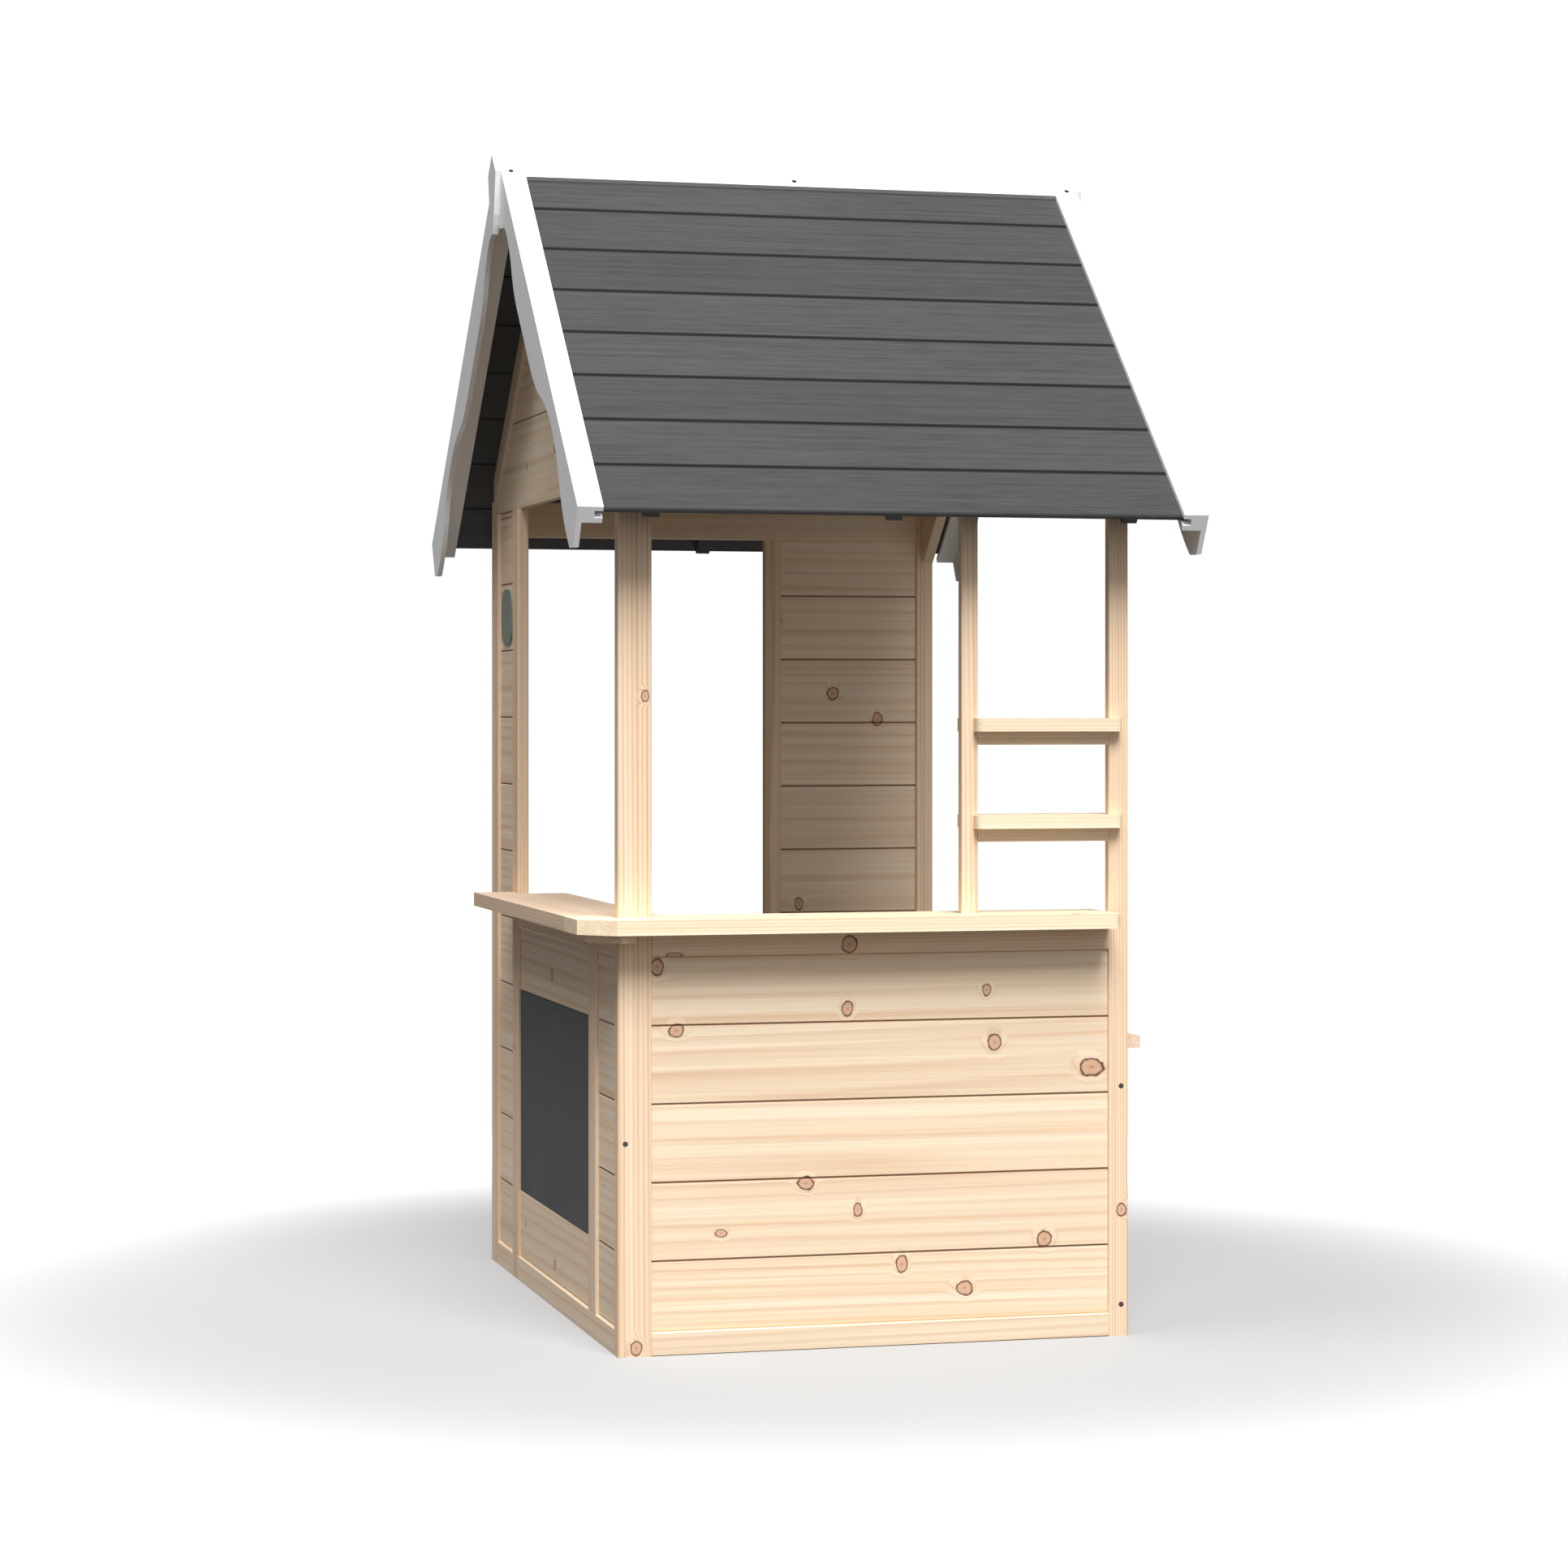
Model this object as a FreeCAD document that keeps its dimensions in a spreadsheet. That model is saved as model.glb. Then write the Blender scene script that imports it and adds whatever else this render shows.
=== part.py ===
"""Wooden market-stall playhouse: a small gable-roofed house with an L-shaped serving counter,
two shelves, a chalkboard and a doorway at the back. Millimetres, +Z up, origin on the ground
under the middle of the house. -Y is the serving front and -X is the chalkboard side."""
import FreeCAD, Part
import math
import os
import re

V = FreeCAD.Vector
TINY = 0.01  # two lengths nearer than this are the same
SLIVER = 0.15  # a last gable board under this share of a full one is left out

DRIVING_SIZES = [
    # house outline and framing stock
    ("house_width", 789.0),
    ("house_depth", 1031.0),
    ("frame_thickness", 18.0),
    ("edge_ease", 1.5),
    # wall boards: each wall has its own first seam and cover width
    ("board_thickness", 9.0),
    ("board_recess", 5.0),
    ("board_bevel", 2.0),
    ("board_gap", 0.4),
    ("front_first_seam", 137.7),
    ("front_board_cover", 115.2),
    ("low_first_seam", 150.0),
    ("low_board_cover", 110.7),
    ("tall_first_seam", 146.4),
    ("tall_board_cover", 112.6),
    ("rear_first_seam", 145.9),
    ("rear_board_cover", 111.3),
    ("right_first_seam", 150.0),
    ("right_board_cover", 112.0),
    # posts
    ("left_post_width", 50.5),
    ("left_post_depth", 25.0),
    ("mid_post_width", 25.4),
    ("shelf_bay_width", 207.4),
    ("right_post_width", 30.6),
    ("door_post_width", 45.0),
    ("door_width", 437.0),
    ("door_stile_width", 29.0),
    # low walls
    ("low_wall_height", 620.0),
    ("low_top_rail_height", 35.0),
    ("front_bottom_rail_height", 35.0),
    ("side_bottom_rail_height", 39.0),
    ("right_wall_height", 433.5),
    # left panels
    ("tall_panel_width", 226.0),
    ("near_stile_width", 50.0),
    ("far_stile_width", 41.0),
    ("narrow_bay_width", 135.0),
    ("low_stile_width", 53.0),
    ("chalkboard_sill", 149.0),
    ("chalkboard_head", 104.0),
    ("chalkboard_thickness", 6.0),
    # counter
    ("counter_width", 145.0),
    ("counter_thickness", 22.0),
    ("counter_overhang", 64.0),
    ("counter_side_lap", 58.0),
    ("counter_corner_cut", 50.0),
    ("counter_end_radius", 15.0),
    ("corner_plate_length", 80.0),
    ("corner_plate_depth", 38.0),
    ("corner_plate_thickness", 11.5),
    ("corner_plate_radius", 12.0),
    ("corner_plate_clearance", 3.0),
    # shelves
    ("shelf_thickness", 20.0),
    ("shelf_depth", 80.0),
    ("shelf_lip", 20.0),
    ("shelf_left_ear", 7.0),
    ("shelf_right_ear", 17.0),
    ("shelf_corner_radius", 11.0),
    ("lower_shelf_rise", 127.0),
    ("upper_shelf_rise", 145.5),
    ("shelf_rail_height", 20.0),
    # side ledge
    ("ledge_thickness", 18.7),
    ("ledge_width", 90.0),
    ("ledge_overhang", 26.0),
    # top framing and gables
    ("top_rail_height", 60.44),
    ("gable_drop", 23.44),
    ("gable_board_cover", 145.0),
    ("gable_batten_width", 41.0),
    ("rake_board_width", 98.0),
    # roof
    ("roof_pitch", 43.0),
    ("eave_height", 1235.4),
    ("eave_overhang", 110.3),
    ("side_overhang", 76.5),
    ("roof_board_thickness", 9.5),
    ("roof_first_seam", 99.0),
    ("roof_board_cover", 105.0),
    ("roof_board_tongue", 12.0),
    ("rafter_width", 24.0),
    ("rafter_thickness", 14.5),
    ("rafter_setback", 10.0),
    ("edge_batten_width", 30.0),
    ("edge_batten_thickness", 25.0),
    ("edge_batten_lip", 7.3),
    ("edge_batten_nose", 6.0),
    ("groove_clearance", 0.3),
    ("eave_cut_lean", 29.0),
    # bargeboards: distances up the slope and depths under the roof boards
    ("fascia_thickness", 8.0),
    ("fascia_foot_drop", 55.4),
    ("fascia_foot_width", 28.0),
    ("fascia_eave_lobe_at", 20.0),
    ("fascia_eave_lobe_depth", 75.0),
    ("fascia_low_scallop_at", 227.0),
    ("fascia_low_scallop_depth", 32.0),
    ("fascia_lobe_depth", 71.0),
    ("fascia_lobe_lower_sweep", 183.0),
    ("fascia_lobe_upper_sweep", 155.0),
    ("fascia_high_scallop_depth", 39.0),
    ("fascia_ridge_sweep", 70.0),
    ("fascia_ridge_lobe_depth", 70.0),
    ("fascia_ridge_flat", 4.0),
    # finials
    ("finial_thickness", 9.0),
    ("finial_length", 128.0),
    ("finial_half_width", 33.0),
    ("finial_waist_drop", 98.0),
    ("finial_waist_half_width", 19.0),
    ("finial_foot_half_width", 8.0),
    # ridge cap
    ("ridge_cap_width", 58.0),
    # screws
    ("screw_head_radius", 4.0),
    ("screw_head_height", 2.4),
    ("screw_shank_radius", 1.8),
    ("screw_clearance", 0.05),
    ("screw_edge_distance", 11.0),
    ("cap_screw_side_inset", 8.0),
    ("cap_screw_edge_inset", 14.0),
    ("wall_screw_length", 16.0),
    ("left_screw_height", 312.0),
    ("right_upper_screw_height", 378.0),
    ("right_lower_screw_height", 47.6),
    # plain plaque on the tall panel
    ("plaque_height", 92.0),
    ("plaque_width", 92.0),
    ("plaque_thickness", 3.0),
    ("plaque_drop", 177.0),
    ("plaque_corner_radius", 30.0),
]

doc = FreeCAD.newDocument("playhouse")
sheet = doc.addObject("Spreadsheet::Sheet", "Sizes")
for row, (alias, value) in enumerate(DRIVING_SIZES, 1):
    sheet.set(f"A{row}", alias)
    sheet.set(f"B{row}", str(value))
    sheet.setAlias(f"B{row}", alias)
doc.recompute()

SIZE_NAMES = {alias for alias, value in DRIVING_SIZES}
nodes = []

# Shared places, as expressions in the sheet's sizes.
LEFT = "(-house_width / 2)"
RIGHT = "(house_width / 2)"
FRONT = "(-house_depth / 2)"
BACK = "(house_depth / 2)"
BACK_WALL = "(house_depth / 2 - frame_thickness)"
RIGHT_WALL = "(house_width / 2 - frame_thickness)"
RIGHT_POST = "(house_width / 2 - right_post_width)"
TALL_PANEL = "(house_depth / 2 - frame_thickness - tall_panel_width)"
MID_POST = "(house_width / 2 - right_post_width - shelf_bay_width - mid_post_width)"
COUNTER_TOP = "(low_wall_height + counter_thickness)"
POST_TOP = ("(eave_height + eave_overhang * tan(roof_pitch)"
            " - (roof_board_thickness + rafter_thickness) / cos(roof_pitch))")
TOP_RAIL = f"({POST_TOP} - top_rail_height)"
GABLE_FOOT = f"({POST_TOP} - gable_drop)"
BOARD_X = f"({LEFT} + board_recess)"
SLOPE_LENGTH = "((house_depth / 2 + eave_overhang) / cos(roof_pitch))"
CAP_START = f"({SLOPE_LENGTH} + edge_batten_lip * tan(roof_pitch) - ridge_cap_width)"


def size(alias):
    """The value of one driving size."""
    return float(sheet.get(alias))


def bound(expression):
    """The expression with every size name pointed at the sheet."""
    return re.sub(r"[a-z_]+", lambda m: f"Sizes.{m[0]}" if m[0] in SIZE_NAMES else m[0], expression)


def place(item, x, y, z):
    item.setExpression("Placement.Base.x", bound(x))
    item.setExpression("Placement.Base.y", bound(y))
    item.setExpression("Placement.Base.z", bound(z))


def box(name, corner, lengths):
    item = doc.addObject("Part::Box", name)
    for dimension, length in zip(("Length", "Width", "Height"), lengths):
        item.setExpression(dimension, bound(length))
    place(item, *corner)
    return item


def keep(item, label):
    """Mark an object as a finished sub-part."""
    item.Label = label
    nodes.append(item)
    return item


def cut(name, base, tools):
    """The base with every tool taken away."""
    for count, tool in enumerate(tools, 1):
        result = doc.addObject("Part::Cut", f"{name}_cut_{count}")
        result.Base = base
        result.Tool = tool
        base = result
    return base


def compound(name, pieces):
    item = doc.addObject("Part::Compound", name)
    item.Links = pieces
    return item


def mirrored(name, source, normal):
    """The matching piece on the other side of one of the house's middle planes."""
    item = doc.addObject("Part::Mirroring", name)
    item.Source = source
    item.Normal = normal
    return item


def eased(name, item, ease):
    """The piece with its four long edges chamfered."""
    doc.recompute()
    lengths = [edge.Length for edge in item.Shape.Edges]
    longest = max(lengths)
    chamfer = doc.addObject("Part::Chamfer", name)
    chamfer.Base = item
    chamfer.Edges = [(number, size(ease), size(ease))
                     for number, length in enumerate(lengths, 1) if length > longest - TINY]
    return chamfer


def beam(name, corner, lengths, ease="edge_ease"):
    """A planed member with eased long edges."""
    return eased(name, box(f"{name}_blank", corner, lengths), ease)


def upright_edges(item, corners):
    """Numbers of the item's vertical edges that stand at the given (x, y) corners."""
    doc.recompute()
    found = []
    for number, edge in enumerate(item.Shape.Edges, 1):
        start = edge.Vertexes[0].Point
        end = edge.Vertexes[-1].Point
        upright = math.hypot(start.x - end.x, start.y - end.y) < TINY
        if upright and any(math.hypot(start.x - x, start.y - y) < TINY for x, y in corners):
            found.append(number)
    return found


def softened(kind, name, item, corners, amount):
    """The item with its vertical edges at these corners filleted or chamfered."""
    feature = doc.addObject(kind, name)
    feature.Base = item
    feature.Edges = [(number, size(amount), size(amount)) for number in upright_edges(item, corners)]
    return feature


def profile_body(name, edges, role, thickness, corner):
    """A body padded from a closed outline on one of its own origin planes."""
    body = doc.addObject("PartDesign::Body", name)
    sketch = body.newObject("Sketcher::SketchObject", f"{name}_outline")
    plane = next(item for item in body.Origin.OriginFeatures if item.Role == role)
    sketch.AttachmentSupport = (plane, [""])
    sketch.MapMode = "FlatFace"
    sketch.addGeometry(edges, False)
    pad = body.newObject("PartDesign::Pad", f"{name}_pad")
    pad.Profile = sketch
    pad.setExpression("Length", bound(thickness))
    place(body, *corner)
    return body


def polygon(points):
    closed = list(points) + [points[0]]
    return [Part.LineSegment(V(*a, 0), V(*b, 0)) for a, b in zip(closed, closed[1:])]


# Values that the drawn outlines share.
pitch = math.radians(size("roof_pitch"))
half_depth = size("house_depth") / 2
half_width = size("house_width") / 2
roof_run = half_depth + size("eave_overhang")
board_underside = -size("roof_board_thickness")
post_top = (size("eave_height") + size("eave_overhang") * math.tan(pitch)
            - (size("roof_board_thickness") + size("rafter_thickness")) / math.cos(pitch))
top_rail = post_top - size("top_rail_height")
gable_foot = post_top - size("gable_drop")


def on_slope(along, above):
    """(y, z) of a point a distance up the front slope from the eave and above the roof boards."""
    y = -roof_run + along * math.cos(pitch) - above * math.sin(pitch)
    z = size("eave_height") + along * math.sin(pitch) + above * math.cos(pitch)
    return y, z


def ridge_along(above):
    """How far up the slope the ridge lies, at a height above the roof boards."""
    return (roof_run + above * math.sin(pitch)) / math.cos(pitch)


def slope_height(y, above):
    """z, over any y, of the line that runs at this height above the roof boards."""
    return size("eave_height") + (roof_run - abs(y)) * math.tan(pitch) + above / math.cos(pitch)


def slope_reach(z, above):
    """How far from the middle the line at this height above the roof boards passes z."""
    return roof_run - (z - above / math.cos(pitch) - size("eave_height")) / math.tan(pitch)


def slope_plate(name, near, far, above, below, x, thickness):
    """A plate with plumb ends that follows the roof between two y values on one side of the ridge."""
    points = [(near, slope_height(near, above)), (far, slope_height(far, above)),
              (far, slope_height(far, below)), (near, slope_height(near, below))]
    return profile_body(name, polygon(points), "YZ_Plane", thickness, (x, "0", "0"))


def board_wall(name, corner, lengths, family, first, last, last_height):
    """Horizontal boards stacked between two rails, spaced by the wall's own seams."""
    seam = f"{family}_first_seam"
    cover = f"{family}_board_cover"
    count = 1 + max(1, round((last_height - size(seam)) / size(cover)))
    pieces = []
    for number in range(count):
        low = f"({seam} + {number - 1} * {cover} + board_gap)" if number else first
        high = f"({seam} + {number} * {cover})" if number < count - 1 else last
        span = (*lengths, f"{high} - {low}")
        pieces.append(beam(f"{name}_{number + 1}", (*corner, low), span, "board_bevel"))
    return keep(compound(name, pieces), name)


def screw(name, length, head_at, direction, clearance="0"):
    """A countersunk screw with its flat head at head_at and its shank along direction; with a clearance,
    the hole that it sits in."""
    head = doc.addObject("Part::Cone", f"{name}_head")
    head.setExpression("Radius1", bound(f"screw_head_radius + {clearance}"))
    head.setExpression("Radius2", bound(f"screw_shank_radius + {clearance}"))
    head.setExpression("Height", bound("screw_head_height"))
    shank = doc.addObject("Part::Cylinder", f"{name}_shank")
    shank.setExpression("Radius", bound(f"screw_shank_radius + {clearance}"))
    shank.setExpression("Height", bound(f"{length} + {clearance}"))
    joined = doc.addObject("Part::Fuse", name)
    joined.Base = head
    joined.Tool = shank
    joined.Placement = FreeCAD.Placement(V(), FreeCAD.Rotation(V(0, 0, 1), direction))
    place(joined, *head_at)
    return joined


def screw_hole(name, length, head_at, direction):
    return screw(name, length, head_at, direction, "screw_clearance")


def front_wall():
    """Rails and boards between the front posts, under the counter."""
    start = f"({LEFT} + left_post_width)"
    span = "(house_width - left_post_width - right_post_width)"
    rail_top = "(low_wall_height - low_top_rail_height)"
    rail = ("frame_thickness", "front_bottom_rail_height")
    keep(beam("front_bottom_rail", (start, FRONT, "0"), (span, *rail)), "front_bottom_rail")
    rail = ("frame_thickness", "low_top_rail_height")
    keep(beam("front_top_rail", (start, FRONT, rail_top), (span, *rail)), "front_top_rail")
    board_wall("front_wall_boards", (start, f"{FRONT} + board_recess"), (span, "board_thickness"),
               "front", "front_bottom_rail_height", rail_top,
               size("low_wall_height") - size("low_top_rail_height"))
    header = ("frame_thickness", "top_rail_height")
    keep(beam("front_header", (start, FRONT, TOP_RAIL), (span, *header)), "front_header")


def front_posts():
    """Three front posts; the outer two take the wall screws."""
    into_front = V(0, 1, 0)
    left_screw = (f"{LEFT} + screw_edge_distance", FRONT, "left_screw_height")
    right_x = f"{RIGHT} - screw_edge_distance"
    right_upper = (right_x, FRONT, "right_upper_screw_height")
    right_lower = (right_x, FRONT, "right_lower_screw_height")
    left = beam("front_left_post_blank", (LEFT, FRONT, "0"),
                ("left_post_width", "left_post_depth", POST_TOP))
    hole = screw_hole("left_post_hole", "wall_screw_length", left_screw, into_front)
    keep(cut("front_left_post", left, [hole]), "front_left_post")
    right = beam("front_right_post_blank", (RIGHT_POST, FRONT, "0"),
                 ("right_post_width", "frame_thickness", POST_TOP))
    holes = [screw_hole("right_post_upper_hole", "wall_screw_length", right_upper, into_front),
             screw_hole("right_post_lower_hole", "wall_screw_length", right_lower, into_front)]
    keep(cut("front_right_post", right, holes), "front_right_post")
    keep(beam("front_mid_post", (MID_POST, FRONT, COUNTER_TOP),
              ("mid_post_width", "frame_thickness", f"{TOP_RAIL} - {COUNTER_TOP}")), "front_mid_post")
    screws = [screw("left_wall_screw", "wall_screw_length", left_screw, into_front),
              screw("right_upper_wall_screw", "wall_screw_length", right_upper, into_front),
              screw("right_lower_wall_screw", "wall_screw_length", right_lower, into_front)]
    keep(compound("wall_screws", screws), "wall_screws")


def counter():
    """Two boards that meet at the front left corner, notched round the post and the tall panel."""
    front_left = (-half_width - size("counter_overhang"), -half_depth - size("counter_overhang"))
    front_right = (half_width - size("right_post_width"), front_left[1])
    blank = box("counter_front_blank",
                (f"{LEFT} - counter_overhang", f"{FRONT} - counter_overhang", "low_wall_height"),
                ("house_width + counter_overhang - right_post_width", "counter_width", "counter_thickness"))
    cornered = softened("Part::Chamfer", "counter_front_cornered", blank, [front_left], "counter_corner_cut")
    rounded = softened("Part::Fillet", "counter_front_rounded", cornered, [front_right],
                       "counter_end_radius")
    notch = box("counter_post_notch", (LEFT, FRONT, "low_wall_height"),
                ("left_post_width", "left_post_depth", "counter_thickness"))
    keep(cut("counter_front", rounded, [notch]), "counter_front")
    side_start = f"({FRONT} - counter_overhang + counter_width)"
    side = box("counter_side_blank", (f"{LEFT} - counter_overhang", side_start, "low_wall_height"),
               ("counter_width", f"{TALL_PANEL} + counter_side_lap - {side_start}", "counter_thickness"))
    panel_notch = box("counter_panel_notch", (LEFT, TALL_PANEL, "low_wall_height"),
                      ("counter_width", "house_depth", "counter_thickness"))
    keep(cut("counter_side", side, [panel_notch]), "counter_side")


def counter_corner_plate():
    """A small batten across the corner joint, under the counter and clear of the post."""
    blank = box("corner_plate_blank", ("-corner_plate_length / 2", "0", "0"),
                ("corner_plate_length", "corner_plate_depth", "corner_plate_thickness"))
    reach = size("corner_plate_length") / 2
    depth = size("corner_plate_depth")
    corners = [(-reach, 0), (reach, 0), (-reach, depth), (reach, depth)]
    plate = softened("Part::Fillet", "corner_plate_rounded", blank, corners, "corner_plate_radius")
    turned = compound("counter_corner_plate", [plate])
    turned.Placement = FreeCAD.Placement(V(), FreeCAD.Rotation(V(0, 0, 1), -45))
    offset = "(corner_plate_depth + corner_plate_clearance) * sin(45)"
    place(turned, f"{LEFT} - {offset}", f"{FRONT} - {offset}", "low_wall_height - corner_plate_thickness")
    keep(turned, "counter_corner_plate")


def shelf(name, height):
    """A shelf between the mid and right posts, with ears that reach in front of them."""
    post_x = half_width - size("right_post_width")
    left_x = post_x - size("shelf_bay_width") - size("shelf_left_ear")
    right_x = post_x + size("shelf_right_ear")
    front_y = -half_depth - size("shelf_lip")
    start = f"({RIGHT_POST} - shelf_bay_width)"
    blank = box(f"{name}_blank", (f"{start} - shelf_left_ear", f"{FRONT} - shelf_lip", height),
                ("shelf_bay_width + shelf_left_ear + shelf_right_ear", "shelf_depth + shelf_lip",
                 "shelf_thickness"))
    rounded = softened("Part::Fillet", f"{name}_rounded", blank, [(left_x, front_y), (right_x, front_y)],
                       "shelf_corner_radius")
    post = ("frame_thickness", "shelf_thickness")
    left_notch = box(f"{name}_left_notch", (f"{start} - shelf_left_ear", FRONT, height),
                     ("shelf_left_ear", *post))
    right_notch = box(f"{name}_right_notch", (RIGHT_POST, FRONT, height), ("shelf_right_ear", *post))
    keep(cut(name, rounded, [left_notch, right_notch]), name)
    rail = beam(f"{name}_rail", (start, FRONT, f"{height} - shelf_rail_height"),
                ("shelf_bay_width", "frame_thickness", "shelf_rail_height"))
    keep(rail, f"{name}_rail")


def left_low_panel():
    """The low panel under the side counter, with the narrow bay and the chalkboard bay."""
    start = f"({FRONT} + left_post_depth)"
    end = TALL_PANEL
    stile_at = f"({start} + narrow_bay_width)"
    bay_at = f"({stile_at} + low_stile_width)"
    bay = f"({end} - {bay_at})"
    rail_top = "(low_wall_height - low_top_rail_height)"
    keep(beam("left_low_bottom_rail", (LEFT, start, "0"),
              ("frame_thickness", f"{end} - {start}", "side_bottom_rail_height")), "left_low_bottom_rail")
    keep(beam("left_low_top_rail", (LEFT, start, rail_top),
              ("frame_thickness", f"{end} - {start}", "low_top_rail_height")), "left_low_top_rail")
    keep(beam("left_low_stile", (LEFT, stile_at, "side_bottom_rail_height"),
              ("frame_thickness", "low_stile_width", f"{rail_top} - side_bottom_rail_height")),
         "left_low_stile")
    board_wall("left_narrow_boards", (BOARD_X, start), ("board_thickness", "narrow_bay_width"), "low",
               "side_bottom_rail_height", rail_top, size("low_wall_height") - size("low_top_rail_height"))
    board_top = f"({rail_top} - chalkboard_head)"
    keep(beam("left_low_board_lower", (BOARD_X, bay_at, "side_bottom_rail_height"),
              ("board_thickness", bay, "chalkboard_sill - side_bottom_rail_height"), "board_bevel"),
         "left_low_board_lower")
    keep(box("chalkboard", (BOARD_X, bay_at, "chalkboard_sill"),
             ("chalkboard_thickness", bay, f"{board_top} - chalkboard_sill")), "chalkboard")
    keep(beam("left_low_board_upper", (BOARD_X, bay_at, board_top),
              ("board_thickness", bay, "chalkboard_head"), "board_bevel"), "left_low_board_upper")


def left_tall_panel():
    """The full-height panel behind the counter, with its plain plaque."""
    near_end = f"({TALL_PANEL} + near_stile_width)"
    far_start = f"({BACK_WALL} - far_stile_width)"
    bay = f"({far_start} - {near_end})"
    keep(beam("left_near_stile", (LEFT, TALL_PANEL, "0"),
              ("frame_thickness", "near_stile_width", GABLE_FOOT)), "left_near_stile")
    keep(beam("left_far_stile", (LEFT, far_start, "0"),
              ("frame_thickness", "far_stile_width", GABLE_FOOT)), "left_far_stile")
    keep(beam("left_tall_bottom_rail", (LEFT, near_end, "0"),
              ("frame_thickness", bay, "side_bottom_rail_height")), "left_tall_bottom_rail")
    board_wall("left_tall_boards", (BOARD_X, near_end), ("board_thickness", bay), "tall",
               "side_bottom_rail_height", GABLE_FOOT, gable_foot)
    plaque = box("plaque_blank", ("0", "-plaque_width / 2", "-plaque_height / 2"),
                 ("plaque_thickness", "plaque_width", "plaque_height"))
    doc.recompute()
    rounded = doc.addObject("Part::Fillet", "plaque_rounded")
    rounded.Base = plaque
    thin = size("plaque_thickness") + TINY
    radius = size("plaque_corner_radius")
    rounded.Edges = [(number, radius, radius) for number, edge in enumerate(plaque.Shape.Edges, 1)
                     if edge.Length < thin]
    mounted = compound("left_panel_plaque", [rounded])
    place(mounted, f"{BOARD_X} - plaque_thickness", f"{near_end} + {bay} / 2", f"{GABLE_FOOT} - plaque_drop")
    keep(mounted, "left_panel_plaque")


def rear_wall():
    """Doorway on the left and a full-height boarded panel on the right."""
    stile_at = f"({LEFT} + door_post_width + door_width)"
    boards_at = f"({stile_at} + door_stile_width)"
    bay = f"({RIGHT_POST} - {boards_at})"
    inner = f"({LEFT} + door_post_width)"
    keep(beam("rear_left_post", (LEFT, BACK_WALL, "0"),
              ("door_post_width", "frame_thickness", POST_TOP)), "rear_left_post")
    keep(beam("rear_right_post", (RIGHT_POST, BACK_WALL, "0"),
              ("right_post_width", "frame_thickness", POST_TOP)), "rear_right_post")
    keep(beam("rear_door_stile", (stile_at, BACK_WALL, "0"),
              ("door_stile_width", "frame_thickness", TOP_RAIL)), "rear_door_stile")
    keep(beam("rear_top_rail", (inner, BACK_WALL, TOP_RAIL),
              (f"{RIGHT_POST} - {inner}", "frame_thickness", "top_rail_height")),
         "rear_top_rail")
    keep(beam("rear_bottom_rail", (boards_at, BACK_WALL, "0"),
              (bay, "frame_thickness", "side_bottom_rail_height")), "rear_bottom_rail")
    board_wall("rear_boards", (boards_at, f"{BACK} - board_recess - board_thickness"),
               (bay, "board_thickness"), "rear", "side_bottom_rail_height", TOP_RAIL, top_rail)


def right_wall():
    """Low boarded wall with a ledge on top."""
    start = f"({FRONT} + frame_thickness)"
    span = "(house_depth - 2 * frame_thickness)"
    rail_top = "(right_wall_height - low_top_rail_height)"
    keep(beam("right_bottom_rail", (RIGHT_WALL, start, "0"),
              ("frame_thickness", span, "side_bottom_rail_height")), "right_bottom_rail")
    keep(beam("right_top_rail", (RIGHT_WALL, start, rail_top),
              ("frame_thickness", span, "low_top_rail_height")), "right_top_rail")
    board_wall("right_wall_boards", (f"{RIGHT} - board_recess - board_thickness", start),
               ("board_thickness", span), "right", "side_bottom_rail_height", rail_top,
               size("right_wall_height") - size("low_top_rail_height"))
    keep(beam("side_ledge", (f"{RIGHT} + ledge_overhang - ledge_width", start, "right_wall_height"),
              ("ledge_width", span, "ledge_thickness")), "side_ledge")


def gable_board(name, bottom, top, batten_below):
    """One horizontal gable board, trimmed to the battens and to the walls in front and behind."""
    front_limit = half_depth - size("left_post_depth")
    back_limit = half_depth - size("frame_thickness")
    low_reach = slope_reach(bottom, batten_below)
    high_reach = max(slope_reach(top, batten_below), 0)
    points = []
    for side, limit in ((-1, front_limit), (1, back_limit)):
        edge = [(side * min(low_reach, limit), bottom)]
        if low_reach > limit > high_reach:
            edge.append((side * limit, slope_height(limit, batten_below)))
        edge.append((side * min(high_reach, limit), min(top, slope_height(0, batten_below))))
        points += edge if side < 0 else edge[::-1]
    if high_reach == 0:
        points.pop(len(points) // 2)
    return profile_body(name, polygon(points), "YZ_Plane", "board_thickness", (BOARD_X, "0", "0"))


def left_gable():
    """Boarded gable over the chalkboard side, framed by a batten under each slope."""
    below = board_underside - size("gable_batten_width")
    front_end = -half_depth + size("left_post_depth")
    back_end = half_depth - size("frame_thickness")
    keep(slope_plate("left_gable_batten_front", front_end, 0, board_underside, below, LEFT,
                     "frame_thickness"), "left_gable_batten_front")
    keep(slope_plate("left_gable_batten_rear", 0, back_end, board_underside, below, LEFT,
                     "frame_thickness"), "left_gable_batten_rear")
    peak = slope_height(0, below)
    bottom = gable_foot
    cover = size("gable_board_cover")
    count = max(1, math.ceil((peak - bottom) / cover - SLIVER))
    boards = []
    for number in range(count):
        low = bottom + number * cover + (size("board_gap") if number else 0)
        high = bottom + (number + 1) * cover if number < count - 1 else peak
        boards.append(gable_board(f"left_gable_board_{number + 1}", low, high, below))
    keep(compound("left_gable_boards", boards), "left_gable_boards")


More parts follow.
